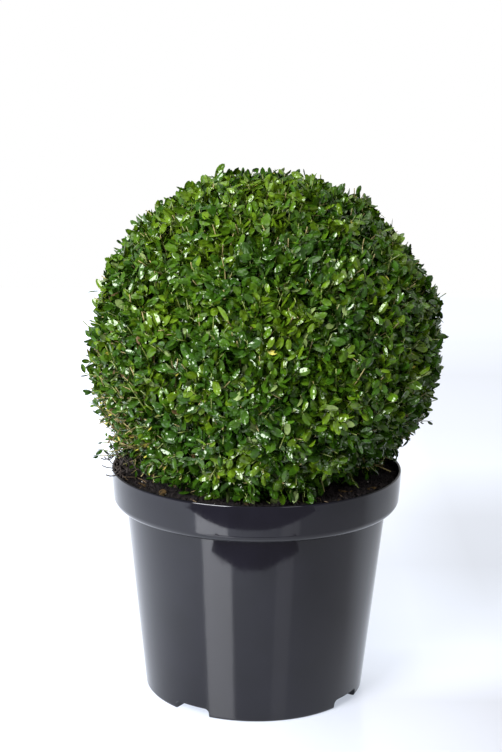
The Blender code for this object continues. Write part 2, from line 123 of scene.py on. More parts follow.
# Stem, boughs and branches
STEM_RADIUS = 0.010
STEM_TIP_RADIUS = 0.0035
STEM_FLARE = 0.006
STEM_FLARE_HEIGHT = 0.012
STEM_TOP = 0.372
STEM_BOW = 0.004
STEM_RINGS = 120
STEM_SIDES = 48
BARK_RELIEF = 0.10
BOUGH_COUNT = 26
BOUGH_LOWEST = -0.62
BOUGH_REACH = 0.50
BOUGH_RADII = (0.0042, 0.0026)
# Share of the stem where a level bough starts, and how much further up an upright one does
BOUGH_FORKS = (0.32, 0.5)
BRANCH_COUNT = 190
BRANCH_LOWEST = -0.66
BRANCH_REACH = 0.72
BRANCH_RADII = (0.0024, 0.0013)

# Twigs and leaves
TWIG_COUNT = 2850
TWIG_START = 0.79
TWIG_LEAN = 0.36
TWIG_RISE = 1.1
TWIG_LENGTHS = (0.008, 0.065)
TWIG_RADII = (0.0009, 0.00054)
TWIG_LOWEST = SOIL_EDGE + 0.004
TIP_DEPTH = 0.0165
TIP_SCATTER = 0.006
TUFT_HEIGHT = 0.019
# How far leaves may reach past the outline, and its scatter
LEAF_BEYOND = (-0.0005, 0.004)
TUFT_FINENESS = 8.0
BARE_TWIG_CHANCE = 0.02
STRAW_TWIG_CHANCE = 0.30
CLUSTER_FINENESS = 26.0
# A spray's tint: its lowest, its scatter, its share by cluster and its rise to the top of the ball, the
# rise being painted light that makes sprays lighter at the top and darker below
TINT_BASE = 0.25
TINT_SCATTER = 0.46
TINT_OF_CLUSTER = 1.28
PAINTED_LIGHT_RISE = 0.26
SHOOT_CHANCE = 0.5
SHOOT_PLACES = (0.15, 0.65)
SHOOT_LENGTHS = (0.014, 0.028)
SHOOT_RADII = (0.000675, 0.00045)
UPRIGHT_COUNT = 620
UPRIGHT_START = 0.87
UPRIGHT_SPACING = 0.0105
UPRIGHT_DEPTHS = (0.006, 0.014)
UPRIGHT_LOWEST = SOIL_EDGE + 0.010
INTERNODE = 0.0072
LEAF_LENGTH = 0.0186
LEAF_WIDTH_SHARE = 0.46
LEAF_SIZES = (0.75, 1.2)
# Size of the leaves at a twig's tip, and how much each pair below them gains
TIP_LEAF_SIZE = 0.80
TIP_LEAF_GAIN = 0.12
LEAF_CHANCE = 0.95
LEAF_TILT = 0.56
OPENING_AT_TIP = 44
OPENING_GAIN = 26
# Half a leaf's width at places along it, both as shares, and the middle and scatter of its bend
LEAF_STATIONS = (0.14, 0.38, 0.66, 0.88)
LEAF_HALF_WIDTHS = (0.26, 0.47, 0.50, 0.32)
LEAF_CUP = (0.68, 0.20)
LEAF_CURL = (0.16, 0.12)
LEAF_CLEARANCE = 0.0015
PLANT_SEED = 7
PALE_CHANCE = 0.025
WORN_CHANCE = 0.0026
WITHERED_SIZE = 0.68
# Middle, radius and share of the places where leaves are worn, small and sparse
WORN_PLACES = (
    ((-0.158, -0.055, 0.292), 0.084, 1.0),
    ((0.158, -0.035, 0.275), 0.055, 0.9),
)
WORN_GAIN = 44
WORN_SHRINKAGE = 0.56
WORN_LOSS = 0.24
WORN_STRAW = 0.6
WORN_UPRIGHTS = 110
# Shade, from 0, old and dark, to 1, young and light, by spray and by leaf, with the sprays' painted
# light at the top of the ball and painted shade below, and where it parts the six kinds of ordinary
# leaves
SHADE_SHARES = (0.80, 0.20)
SHADE_LIMITS = (0.25, 0.38, 0.50, 0.62, 0.80)
# Base colour, roughness and specular level of each kind of leaf
LEAF_KINDS = {
    "leaves_dark": ((0.014, 0.042, 0.003), 0.14, 0.47),
    "leaves_deep": ((0.016, 0.046, 0.003), 0.14, 0.47),
    "leaves_green": ((0.019, 0.052, 0.003), 0.15, 0.46),
    "leaves_mid": ((0.024, 0.060, 0.003), 0.15, 0.45),
    "leaves_fresh": ((0.033, 0.072, 0.003), 0.16, 0.44),
    "leaves_young": ((0.055, 0.100, 0.004), 0.17, 0.42),
    "leaves_pale": ((0.100, 0.140, 0.040), 0.50, 0.3),
    "leaves_yellow": ((0.240, 0.220, 0.030), 0.40, 0.4),
    "leaves_dead": ((0.062, 0.038, 0.014), 0.60, 0.2),
}
LEAF_GLINT = (0.92, 1.0, 0.80)
# Places in a leaf's noise of its darker and its lighter tone, and their share of its colour
LEAF_TONES = ((0.35, 0.72), (0.65, 1.25))
# Azimuth from +X, height, length and rise of each stray twig over the rim
STRAY_TWIGS = (
    (math.radians(183), 0.262, 0.046, -0.02),
    (math.radians(189), 0.266, 0.042, 0.16),
    (math.radians(176), 0.270, 0.044, 0.02),
    (math.radians(-7), 0.308, 0.058, 0.01),
)
STRAY_ROOT = 0.128
STRAY_RADII = (0.0009, 0.00045)
STRAY_LEAF_PLACES = (1.0, 0.72, 0.45)
STRAY_LEAF_SIZES = (0.35, 0.6)
STRAY_TINT = 0.15
# Dry twigs that lie over the left of the rim
DRY_TWIG_COUNT = 90
DRY_TWIG_AZIMUTHS = (math.radians(174), math.radians(204))
DRY_TWIG_DISTANCES = (0.128, 0.158)
DRY_TWIG_HEIGHTS = (0.253, 0.270)
DRY_TWIG_LENGTHS = (0.008, 0.026)
DRY_TWIG_SAG = 0.004

# Relief and bits of the soil
SOIL_RINGS = 70
SOIL_SEGMENTS = 260
SOIL_RELIEF = 0.0030
# How far inside the wall bits lie, and how far their ends stay clear of it
BITS_INSET = 0.003
BITS_CLEARANCE = 0.002
CRUMB_COUNT = 9000
CRUMB_LIFTS = (0.0006, 0.0030)
CRUMB_SIZE = (0.0012, 0.0008)
CRUMB_SMALLEST = 0.0004
GRAIN_COUNT = 90
GRAIN_LIFTS = (0.0020, 0.0038)
GRAIN_SIZES = (0.0005, 0.0013)
STRAW_COUNT = 60
STRAW_LIFTS = (0.0025, 0.0045)
STRAW_HALF_LENGTHS = (0.003, 0.010)
STRAW_RADII = (0.00025, 0.0006)
FALLEN_COUNT = 30
FALLEN_LIFTS = (0.0030, 0.0045)
FALLEN_SIZES = (0.7, 1.0)

# Dark tone, light tone and roughness of grains, straw and twigs
BITS = {
    "pale_grains": ((0.35, 0.33, 0.28), (0.6, 0.58, 0.52), 0.8),
    "straw": ((0.06, 0.04, 0.02), (0.18, 0.12, 0.06), 0.7),
    "green_twig": ((0.06, 0.09, 0.012), (0.14, 0.17, 0.030), 0.45),
    "straw_twig": ((0.10, 0.08, 0.025), (0.22, 0.18, 0.06), 0.6),
    "brown_twig": ((0.06, 0.04, 0.022), (0.15, 0.10, 0.05), 0.7),
    "dry_twig": ((0.010, 0.007, 0.006), (0.040, 0.028, 0.020), 0.8),
}
# Part of a noise's values that is spread from the lowest roughness to the highest
NOISE_SPAN = (0.3, 0.7)

# Studio
BACKGROUND = (1.0, 1.0, 1.0)
# Colours of the studio from its front to its back, and the directions along Y between them
STUDIO_TONES = ((0.0, (0.37, 0.355, 0.41)), (0.5, (0.36, 0.36, 0.36)), (1.0, (0.6, 0.6, 0.6)))
STUDIO_SPAN = (-0.6, 0.6)
# Where the floor's glow, a painted light that is bright on the left and a painted shade on the right,
# falls from left to right, and its brightness at both ends
FLOOR_PAINTED_LIGHT_SPAN = (-0.35, 0.30)
FLOOR_PAINTED_LIGHT = (0.95, 0.155)
FLOOR_COLOUR = (0.30, 0.305, 0.325)
# Bluish colour of the floor's glow, and so of its painted light and painted shadow
FLOOR_TINT = (1.0, 1.09, 1.25)
FLOOR_BACK = 2.6
# Across, front edge, and the far side of a gap, whose ends show as the dark shapes in the pot's gloss
FLOOR_FRONT = (
    (-1.60, -0.440, None), (-0.75, -0.450, None), (-0.58, -0.530, None),
    (-0.46, -0.553, None), (-0.27, -0.575, -0.390), (-0.15, -0.598, -0.418),
    (0.00, -0.612, -0.430), (0.15, -0.610, -0.426), (0.27, -0.612, -0.395),
    (0.44, -0.600, None), (0.57, -0.580, None), (0.73, -0.510, None),
    (1.60, -0.460, None),
)
FLOOR_GAP_FRONT = -0.51
# Where the right-hand floor begins, and its brightness at places along Y, with a painted soft shadow of
# the ball
FLOOR_RIGHT_SPAN = (0.0, 0.2)
FLOOR_PAINTED_SHADOW_ALONG = (
    (-0.06, 0.0), (0.02, 0.20), (0.10, 0.30), (0.22, 0.27), (0.40, 0.17), (0.62, 0.18),
    (0.92, 0.32), (1.15, 0.25), (1.60, 0.17), (1.95, 0.24), (2.60, 0.50),
)
FLOOR_IOR = 1.62
FLOOR_ROUGHNESS = (0.12, 0.16)
LIGHT_TARGET = Vector((0, 0, 0.32))
# Name, azimuth, elevation, distance, width, height, radiance, colour and whether it is mirrored
SOFT_BOXES = (
    ("key", -34.3, 21, 1.61, 0.74, 1.10, 26.0, (1.0, 1.01, 1.06), True),
    ("top", 10, 80, 1.6, 1.0, 1.0, 3.0, (1.0, 1.0, 1.0), True),
    ("fill", 27, 19, 2.0, 0.5, 1.0, 3.0, (1.0, 1.0, 1.05), True),
    ("sky", 0, 66, 1.8, 1.2, 1.2, 3.8, (1.0, 1.0, 0.96), False),
    ("lift", -4, 24, 2.4, 1.6, 1.6, 1.45, (1.0, 1.0, 0.94), False),
    ("rear", 180, 24, 2.2, 1.8, 1.6, 3.8, (1.0, 1.0, 0.97), False),
)

# Camera, solved from the photograph's perspective
PHOTO_HEIGHT_PIXELS = 752
FOCAL_PIXELS = 1650.0
CAMERA_DISTANCE = 1.756
CAMERA_HEIGHT = 0.743
CAMERA_PITCH = math.radians(12.59)
CAMERA_YAW = math.radians(-0.24)
CAMERA_ROLL = math.radians(0.73)


def unit(vectors):
    return vectors / np.linalg.norm(vectors, axis=-1, keepdims=True)


def direction_at(azimuth, elevation):
    level = math.cos(elevation)
    return Vector((level * math.cos(azimuth), level * math.sin(azimuth), math.sin(elevation)))


def round_axis(radius, azimuth, height):
    return np.stack([radius * np.cos(azimuth), radius * np.sin(azimuth), height], -1)


def new_object(name, data):
    obj = bpy.data.objects.new(name, data)
    bpy.context.scene.collection.objects.link(obj)
    return obj


def mesh_object(name, points, faces, material, smooth=True):
    """An object from an array of points and arrays of faces, each with its own number of corners."""
    mesh = bpy.data.meshes.new(name)
    mesh.vertices.add(points.size // 3)
    mesh.vertices.foreach_set("co", points.astype(np.float32).ravel())
    corners = np.concatenate([part.ravel() for part in faces]).astype(np.int32)
    counts = np.concatenate([np.full(len(part), part.shape[1]) for part in faces])
    starts = (np.cumsum(counts) - counts).astype(np.int32)
    mesh.loops.add(len(corners))
    mesh.loops.foreach_set("vertex_index", corners)
    mesh.polygons.add(len(counts))
    mesh.polygons.foreach_set("loop_start", starts)
    mesh.polygons.foreach_set("use_smooth", np.full(len(counts), smooth))
    mesh.update(calc_edges=True)
    mesh.validate()
    mesh.materials.append(material)
    return new_object(name, mesh)


def ring_walls(index):
    """Quads between rings of point numbers, from each ring to the next."""
    low, high = index[..., :-1, :], index[..., 1:, :]
    return np.stack([low, np.roll(low, -1, -1), np.roll(high, -1, -1), high], -1).reshape(-1, 4)


def tubes(paths, radii, sides):
    """Points and faces of closed tubes: paths are (tubes, points, 3) and radii (tubes, points)."""
    count, length, _ = paths.shape
    tangents = unit(np.gradient(paths, axis=1))
    helper = np.where(np.abs(tangents[:, :1, 2:]) < 0.9, [0.0, 0.0, 1.0], [1.0, 0.0, 0.0])
    side = unit(np.cross(tangents, helper))
    other = np.cross(tangents, side)
    angles = np.arange(sides) * math.tau / sides
    ring = side[:, :, None] * np.cos(angles)[:, None] + other[:, :, None] * np.sin(angles)[:, None]
    points = paths[:, :, None] + ring * radii[:, :, None, None]
    index = np.arange(count * length * sides).reshape(count, length, sides)
    return points.reshape(-1, 3), [ring_walls(index), index[:, 0, ::-1], index[:, -1]]


class Outline:
    """The ball's clipped outline, with the lumps that the source gives it."""

    def __init__(self):
        draw = random.Random(LUMP_SEED)
        lumps = [(self.ring(math.radians(angle)), *rest) for angle, *rest in OUTLINE_LUMPS + LEAF_LUMPS]
        for _ in range(RANDOM_LUMPS):
            azimuth = draw.uniform(0, math.tau)
            direction = direction_at(azimuth, math.asin(draw.uniform(RANDOM_LUMP_LOWEST, 1.0)))
            height = draw.uniform(-RANDOM_LUMP_HEIGHT, RANDOM_LUMP_HEIGHT)
            # The silhouette is the photograph's, so the random lumps fade out towards it
            sight = self.ring(0).cross(self.ring(math.pi / 2))
            height *= min(1.0, abs(direction.dot(sight)) * 2)
            lumps.append((direction, height, RANDOM_LUMP_SPREAD))
        for azimuth, elevation, *rest in HOLLOWS + LEAF_HOLLOWS:
            lumps.append((direction_at(math.radians(azimuth), math.radians(elevation)), *rest))
        self.middles, self.heights, spreads = (np.array(values) for values in zip(*lumps))
        self.spreads = np.radians(spreads)

    @staticmethod
    def ring(angle):
        up = Vector((0, math.sin(OUTLINE_TILT), math.cos(OUTLINE_TILT)))
        return Vector((1, 0, 0)) * math.cos(angle) + up * math.sin(angle)

    def reach(self, offsets):
        """Distance from the ball's centre to its outline towards each offset."""
        angles = np.arccos(np.clip(unit(offsets) @ self.middles.T, -1, 1))
        return BALL_RADIUS + (self.heights * np.exp(-((angles / self.spreads) ** 2))).sum(-1)


CENTRE = np.array(BALL_CENTRE)
OUTLINE = Outline()


def evenly_spread(count):
    index = np.arange(count)
    height = 1 - (2 * index + 1) / count
    azimuth = index * math.pi * (3 - math.sqrt(5))
    return round_axis(np.sqrt(1 - height**2), azimuth, height)


def collar_radius(height):
    share = (POT_HEIGHT - height) / (COLLAR_DEPTH - SHOULDER_RADIUS)
    return RIM_RADIUS - COLLAR_TAPER[0] * share - COLLAR_TAPER[1] * share**2


SOIL_RADIUS = collar_radius(SOIL_EDGE) - WALL


def is_free(points, clearance=LEAF_CLEARANCE):
    """Whether each point is clear of the soil and the pot's wall."""
    x, y, height = np.moveaxis(points, -1, 0)
    over_soil = height > SOIL_EDGE + SOIL_RISE + clearance
    over_rim = height > POT_HEIGHT + clearance
    within = np.hypot(x, y) < collar_radius(height) - WALL - clearance
    return over_soil & (over_rim | within)


def worn_share(points):
    """How worn the foliage is at each point, from 0 to 1."""
    total = np.zeros(len(points))
    for place, radius, share in WORN_PLACES:
        distance = np.linalg.norm(points - place, axis=1)
        total += share * np.exp(-((distance / radius) ** 2))
    return np.minimum(total, 1)


def stem_point(share):
    """Middle of the stem, from the soil at 0 to its tip at 1."""
    foot_height = SOIL_EDGE + SOIL_RISE + GAP
    lean = share * share * (3 - 2 * share)
    along_y = STEM_BOW * np.sin(math.pi * share) * share
    height = foot_height + (STEM_TOP - foot_height) * share
    return np.stack([BALL_CENTRE.x * lean, along_y, height], -1)


def stem_radius(share):
    height = (STEM_TOP - SOIL_EDGE) * share
    flare = STEM_FLARE * np.exp(-height / STEM_FLARE_HEIGHT)
    return STEM_RADIUS + (STEM_TIP_RADIUS - STEM_RADIUS) * share + flare


class Plant:
    """Boughs, branches, twigs and leaves, grown outwards from the stem by one seeded rule."""

    def __init__(self):
        self.rng = np.random.default_rng(PLANT_SEED)
        self.twigs = []
        self.leaves = []

    def scatter(self, directions, amount):
        return unit(directions + self.rng.normal(0, amount, directions.shape))

    def bent(self, starts, ends, points, bow, radii):
        """Slightly bowed paths with tapering radii."""
        share = np.linspace(0, 1, points)[:, None]
        length = np.linalg.norm(ends - starts, axis=1)[:, None]
        side = unit(self.rng.normal(0, 1, starts.shape)) * length * bow
        paths = starts[:, None] * (1 - share) + ends[:, None] * share
        paths += side[:, None] * np.sin(math.pi * share)
        return paths, np.linspace(*radii, points)[None].repeat(len(starts), 0)

    def at_reach(self, directions, share):
        return CENTRE + directions * (OUTLINE.reach(directions) * share)[:, None]

    def grow_limbs(self):
        """Boughs that rise from the stem, and branches that fork from the boughs' tips."""
        boughs = self.scatter(evenly_spread(BOUGH_COUNT), 0.12)
        boughs = boughs[boughs[:, 2] > BOUGH_LOWEST]
        lowest, rise = BOUGH_FORKS
        share = lowest + rise * boughs[:, 2] + self.rng.normal(0, 0.08, len(boughs))
        starts = stem_point(np.clip(share, 0.1, 0.97))
        tips = self.at_reach(boughs, BOUGH_REACH)
        self.boughs = self.bent(starts, tips, 7, 0.10, BOUGH_RADII)
        branches = self.scatter(evenly_spread(BRANCH_COUNT), 0.06)
        branches = branches[branches[:, 2] > BRANCH_LOWEST]
        starts = tips[(branches @ boughs.T).argmax(1)]
        self.branch_tips = self.at_reach(branches, BRANCH_REACH)
        self.branches = self.bent(starts, self.branch_tips, 6, 0.12, BRANCH_RADII)
        self.branch_directions = branches

    def out_to_outline(self, starts, headings, short):
        """Where each heading comes within a short distance of the clipped outline."""
        offset = starts - CENTRE
        run = np.full(len(starts), 0.03)
        for _ in range(6):
            tips = offset + headings * run[:, None]
            level = np.clip((unit(tips) * headings).sum(1), 0.3, 1)
            run += (OUTLINE.reach(tips) - short - np.linalg.norm(tips, axis=1)) / level
        return starts + headings * np.clip(run, *TWIG_LENGTHS)[:, None]

    def grow_twigs(self):
        """Leafy twigs from the branches' tips out to the clipped outline, with side shoots."""
        rng = self.rng
        directions = self.scatter(evenly_spread(TWIG_COUNT), 0.03)
        starts = self.at_reach(directions, TWIG_START)
        lean = np.array([0, 0, TWIG_RISE]) * rng.uniform(0, 1, (len(starts), 1))
        headings = self.scatter(directions + lean, TWIG_LEAN)
        tufts = np.array([noise.noise(Vector(direction) * TUFT_FINENESS) for direction in directions])
        short = TIP_DEPTH - TUFT_HEIGHT * tufts + rng.normal(0, TIP_SCATTER, len(starts))
        ends = self.out_to_outline(starts, headings, short)
        free = is_free(ends) & is_free((starts + ends) / 2) & (starts[:, 2] > TWIG_LOWEST)
        starts, ends, directions = starts[free], ends[free], directions[free]
        nearest = (directions @ self.branch_directions.T).argmax(1)
        paths, radii = self.bent(starts, ends, 4, 0.08, TWIG_RADII)
        paths = np.concatenate([self.branch_tips[nearest][:, None], paths], 1)
        radii = np.concatenate([radii[:, :1] * 1.4, radii], 1)
        self.twigs.append((paths, radii))
        clusters = np.array([noise.noise(Vector(end) * CLUSTER_FINENESS) for end in ends])
        tints = rng.random(len(starts)) * TINT_SCATTER + TINT_BASE + TINT_OF_CLUSTER * clusters
        # Painted light: sprays higher on the ball are made lighter, lower ones darker
        tints = np.clip(tints + PAINTED_LIGHT_RISE * (ends[:, 2] - CENTRE[2]) / BALL_RADIUS, 0, 1)
        leafy = rng.random(len(starts)) > BARE_TWIG_CHANCE
        self.add_leaves(starts[leafy], ends[leafy], tints[leafy], 1.0, INTERNODE)
        for _ in range(2):
            chosen = rng.random(len(starts)) < SHOOT_CHANCE
            place = rng.uniform(*SHOOT_PLACES, (chosen.sum(), 1))
            forks = starts[chosen] * (1 - place) + ends[chosen] * place
            along = unit((ends - starts)[chosen])
            self.grow_shoots(forks, self.scatter(along, 0.5), tints[chosen])

    def grow_shoots(self, forks, headings, tints):
        tips = forks + headings * self.rng.uniform(*SHOOT_LENGTHS, (len(forks), 1))
        inside = np.linalg.norm(tips - CENTRE, axis=1) < OUTLINE.reach(tips - CENTRE) - 0.002
        free = is_free(tips) & inside
        forks, tips = forks[free], tips[free]
        self.twigs.append(self.bent(forks, tips, 3, 0.06, SHOOT_RADII))
        self.add_leaves(forks, tips, tints[free], 0.92, INTERNODE)

    def grow_upright(self):
        """Long shoots that rise close under the outline, with bare stretches that show."""
        rng = self.rng
        directions = [evenly_spread(UPRIGHT_COUNT)]
        for place, _, share in WORN_PLACES:
            around = unit(place - CENTRE) + rng.normal(0, 0.2, (int(WORN_UPRIGHTS * share), 3))
            directions.append(unit(around))
        directions = self.scatter(np.concatenate(directions), 0.1)
        starts = self.at_reach(directions, UPRIGHT_START)
        headings = self.scatter(directions * 0.5 + [0, 0, 1], 0.28)
        ends = self.out_to_outline(starts, headings, rng.uniform(*UPRIGHT_DEPTHS, len(starts)))
        free = is_free(ends) & is_free((starts + ends) / 2) & (starts[:, 2] > UPRIGHT_LOWEST)
        starts, ends = starts[free], ends[free]
        self.twigs.append(self.bent(starts, ends, 5, 0.05, TWIG_RADII))
        tints = rng.uniform(0.3, 0.9, len(starts))
        self.add_leaves(starts, ends, tints, 0.95, UPRIGHT_SPACING)

    def add_leaves(self, starts, ends, tints, size, spacing):
        """Opposite pairs along twigs, each a quarter turn from the last, smaller at the tip."""
        rng, count = self.rng, len(starts)
        length = np.linalg.norm(ends - starts, axis=1)
        along = (ends - starts) / length[:, None]
        side = unit(np.cross(along, unit(rng.normal(0, 1, along.shape))))
        other = np.cross(along, side)
        for node in range(int(length.max() / spacing) + 1):
            back = node * spacing * rng.uniform(0.8, 1.2, count)
            position = ends - along * back[:, None]
            turn = node * math.pi / 2 + rng.normal(0, 0.3, (count, 1))
            across = side * np.cos(turn) + other * np.sin(turn)
            opened = np.radians(OPENING_AT_TIP + OPENING_GAIN * min(1.0, node / 3))
            opened += rng.normal(0, 0.22, (count, 1))
            grown = min(1.0, TIP_LEAF_SIZE + TIP_LEAF_GAIN * node)
            worn = worn_share(position)
            fresh = np.clip(tints + 0.06 - 0.05 * node, 0, 1)
            for sign in (1, -1):
                heading = self.scatter(along * np.cos(opened) + across * sign * np.sin(opened), 0.2)
                leaf = size * grown * LEAF_LENGTH * rng.uniform(*LEAF_SIZES, count)
                leaf *= 1 - WORN_SHRINKAGE * worn
                keep = (back < length) & (rng.random(count) < LEAF_CHANCE - WORN_LOSS * worn)
                self.add_leaf_set(position, heading, along, leaf, fresh, keep)

    def add_leaf_set(self, roots, headings, facing, lengths, tints, keep):
        tips = roots + headings * lengths[:, None]
        beyond = np.linalg.norm(tips - CENTRE, axis=1) - OUTLINE.reach(tips - CENTRE)
        keep &= is_free(tips) & is_free((roots + tips) / 2) & is_free(roots)
        keep &= beyond < self.rng.normal(*LEAF_BEYOND, len(roots))
        normals = self.scatter(facing, LEAF_TILT)
        draw = self.rng.random(len(roots))
        worn = WORN_CHANCE * (1 + WORN_GAIN * worn_share(roots))
        # 0 is an ordinary leaf, 1 a pale one, 2 a yellow one and 3 a dead one
        special = np.sum([draw < PALE_CHANCE + 2 * worn, draw < 2 * worn, draw < worn], 0)
        lengths = np.where(special > 1, lengths * WITHERED_SIZE, lengths)
        leaves = (roots, headings, normals, lengths, tints, special)
        self.leaves.append([values[keep] for values in leaves])

    def dealt_twigs(self):
        """The twigs as two sets, green ones and older straw-coloured ones."""
        green, straw = [], []
        for paths, radii in self.twigs:
            chance = STRAW_TWIG_CHANCE + WORN_STRAW * worn_share(paths[:, -1])
            old = self.rng.random(len(paths)) < chance
            green.append((paths[~old], radii[~old]))
            straw.append((paths[old], radii[old]))
        return green, straw


def leaf_points(roots, along, facing, lengths, rng):
    """Points of oval leaves creased at the midrib, (leaves, points, 3)."""
    x = np.tile([0.0, *np.repeat(LEAF_STATIONS, 2), 1.0], 2)[:, None]
    half = np.zeros((len(x) // 2, 1))
    half[2::2, 0] = LEAF_HALF_WIDTHS
    y = np.concatenate([-half, half])
    roots, along, facing = roots[:, None], along[:, None], facing[:, None]
    across = unit(np.cross(facing, along))
    normal = np.cross(along, across)
    lengths = lengths[:, None, None]
    widths = lengths * LEAF_WIDTH_SHARE * rng.uniform(0.88, 1.12, lengths.shape)
    droop = rng.normal(*LEAF_CUP, lengths.shape) * widths * y**2
    bend = rng.normal(*LEAF_CURL, lengths.shape) * lengths * x**2
    return roots + along * (lengths * x) + across * (widths * y) - normal * (droop + bend)


def leaf_faces():
    """Triangles and quads of a leaf's left half, whose points lie in pairs, then its right half."""
    ends = np.array([(0, 1, 2), (7, 8, 9)])
    middle = np.array([(1, 2, 4, 3), (3, 4, 6, 5), (5, 6, 8, 7)])
    return [np.concatenate([half, half[:, ::-1] + 10]) for half in (ends, middle)]


def leaf_object(name, arrays, material, rng):
    points = leaf_points(*arrays, rng)
    firsts = (np.arange(len(points)) * points.shape[1])[:, None, None]
    faces = [(part + firsts).reshape(-1, part.shape[1]) for part in leaf_faces()]
    return mesh_object(name, points, faces, material)


def build_pot(material):
    """The moulded shell with its collar, rounded rim, and arched pockets round the foot."""
    lip = WALL / 2
    profile = [(0.0, FLOOR_THICKNESS), (BASE_RADIUS - WALL, FLOOR_THICKNESS)]
    profile += reversed(side_profile(WALL))
    profile += arc(RIM_RADIUS - lip, POT_HEIGHT - lip, lip, math.pi, 0.0, RIM_STEPS)
    profile += side_profile(0.0)
    profile += arc(BASE_RADIUS - BASE_FILLET, BASE_FILLET, BASE_FILLET, 0.0, -math.pi / 2, FILLET_STEPS)
    profile.append((0.0, 0.0))
    pot = turned("pot_shell", profile)
    place = Matrix.Translation((0, 0, (FLOOR_THICKNESS + PLUG_DEPTH) / 2))
    plug = cylinder("wall_plug", BASE_RADIUS - WALL / 2, PLUG_DEPTH, POT_TURN_STEPS, place)
    helpers = [plug]
    for index in range(POCKET_COUNT):
        housing = pocket_block(f"housing_{index}", index, WALL)
        add_boolean(housing, "INTERSECT", plug)
        apply_modifiers(housing)
        add_boolean(pot, "UNION", housing)
        helpers.append(housing)
    apply_modifiers(pot)
    for index in range(POCKET_COUNT):
        pocket = pocket_block(f"pocket_{index}", index, 0.0)
        place = pocket_turn(index) @ Matrix.Translation((BASE_RADIUS - DRAIN_OFFSET, 0, POCKET_HEIGHT))
        drill = cylinder(f"drain_{index}", DRAIN_RADIUS, POCKET_HEIGHT, DRAIN_SIDES, place)
        add_boolean(pot, "DIFFERENCE", pocket)
        add_boolean(pot, "DIFFERENCE", drill)
        helpers += [pocket, drill]
    apply_modifiers(pot)
    for helper in helpers:
        bpy.data.objects.remove(helper, do_unlink=True)
    pot.data.shade_smooth()
    pot.data.set_sharp_from_angle(angle=SHARP_ANGLE)
    pot.data.materials.append(material)
    return pot


def arc(across, up, size, first, last, steps):
    """Points of an arc round a middle, between two angles that count upwards from straight outwards."""
    angles = [first + (last - first) * step / steps for step in range(steps + 1)]
    return [(across + size * math.cos(angle), up + size * math.sin(angle)) for angle in angles]


def side_profile(inset):
    """The pot's side from under the rim down to the foot, moved inwards by inset."""
    first, last = SHOULDER_ANGLES
    centre_height = POT_HEIGHT - COLLAR_DEPTH + SHOULDER_RADIUS
    arc_start = centre_height - SHOULDER_RADIUS * math.sin(first)
    centre_radius = collar_radius(arc_start) - SHOULDER_RADIUS * math.cos(first)
    collar_top = POT_HEIGHT - WALL / 2 - HOLD
    points = []
    for step in range(COLLAR_STEPS):
        height = collar_top + (arc_start - collar_top) * step / COLLAR_STEPS
        points.append((collar_radius(height) - inset, height))
    points.append((collar_radius(arc_start + HOLD) - inset, arc_start + HOLD))
    size = SHOULDER_RADIUS - inset
    points += arc(centre_radius, centre_height, size, -first, -last, SHOULDER_STEPS)
    body_top = POT_HEIGHT - COLLAR_DEPTH
    points.append((BODY_TOP_RADIUS - inset, body_top + inset))
    for height in (body_top - HOLD, BASE_FILLET + HOLD):
        share = (height - BASE_FILLET) / (body_top - BASE_FILLET)
        points.append((BASE_RADIUS + (BODY_TOP_RADIUS - BASE_RADIUS) * share - inset, height))
    return points


def turned(name, profile):
    mesh = bpy.data.meshes.new(name)
    points = [(radius, 0.0, height) for radius, height in profile]
    mesh.from_pydata(points, [(i, i + 1) for i in range(len(points) - 1)], [])
    obj = new_object(name, mesh)
    screw = obj.modifiers.new("turn", "SCREW")
    screw.steps = POT_TURN_STEPS
    screw.use_merge_vertices = True
    screw.merge_threshold = 0.00001
    apply_modifiers(obj)
    return obj


def add_boolean(obj, operation, other):
    modifier = obj.modifiers.new(operation.lower(), "BOOLEAN")
    modifier.operation = operation
    modifier.solver = "EXACT"
    modifier.object = other


def apply_modifiers(obj):
    graph = bpy.context.evaluated_depsgraph_get()
    mesh = bpy.data.meshes.new_from_object(obj.evaluated_get(graph))
    obj.modifiers.clear()
    obj.data = mesh


def bmesh_object(name, bm):
    mesh = bpy.data.meshes.new(name)
    bm.to_mesh(mesh)
    bm.free()
    return new_object(name, mesh)


def cylinder(name, radius, depth, sides, place):
    bm = bmesh.new()
    bmesh.ops.create_cone(
        bm, cap_ends=True, segments=sides, radius1=radius, radius2=radius, depth=depth, matrix=place
    )
    return bmesh_object(name, bm)


def pocket_turn(index):
    """Turns +X to the pocket's own direction."""
    return Matrix.Rotation(POCKET_FIRST_ANGLE + index * math.tau / POCKET_COUNT, 4, "Z")


def pocket_block(name, index, grow):
    """An arched tunnel section swept outwards along the pocket's direction, grown evenly by grow."""
    half = POCKET_WIDTH / 2 + grow
    corner = POCKET_CORNER + grow
    foot = FLOOR_THICKNESS / 2 if grow else -BASE_FILLET
    start = BASE_RADIUS - POCKET_DEPTH - grow
    outline = [(-half, foot), (half, foot)]
    for side, first in ((1, 0.0), (-1, math.pi / 2)):
        across, last = side * (half - corner), first + math.pi / 2
        outline += arc(across, POCKET_HEIGHT - POCKET_CORNER, corner, first, last, POCKET_CORNER_STEPS)
    bm = bmesh.new()
    face = bm.faces.new([bm.verts.new((start, across, height)) for across, height in outline])
    swept = bmesh.ops.extrude_face_region(bm, geom=[face])
    moved = [item for item in swept["geom"] if isinstance(item, bmesh.types.BMVert)]
    bmesh.ops.translate(bm, verts=moved, vec=(BASE_RADIUS + POCKET_HEIGHT - start, 0, 0))
    bmesh.ops.transform(bm, matrix=pocket_turn(index), verts=bm.verts)
    bmesh.ops.recalc_face_normals(bm, faces=bm.faces)
    return bmesh_object(name, bm)


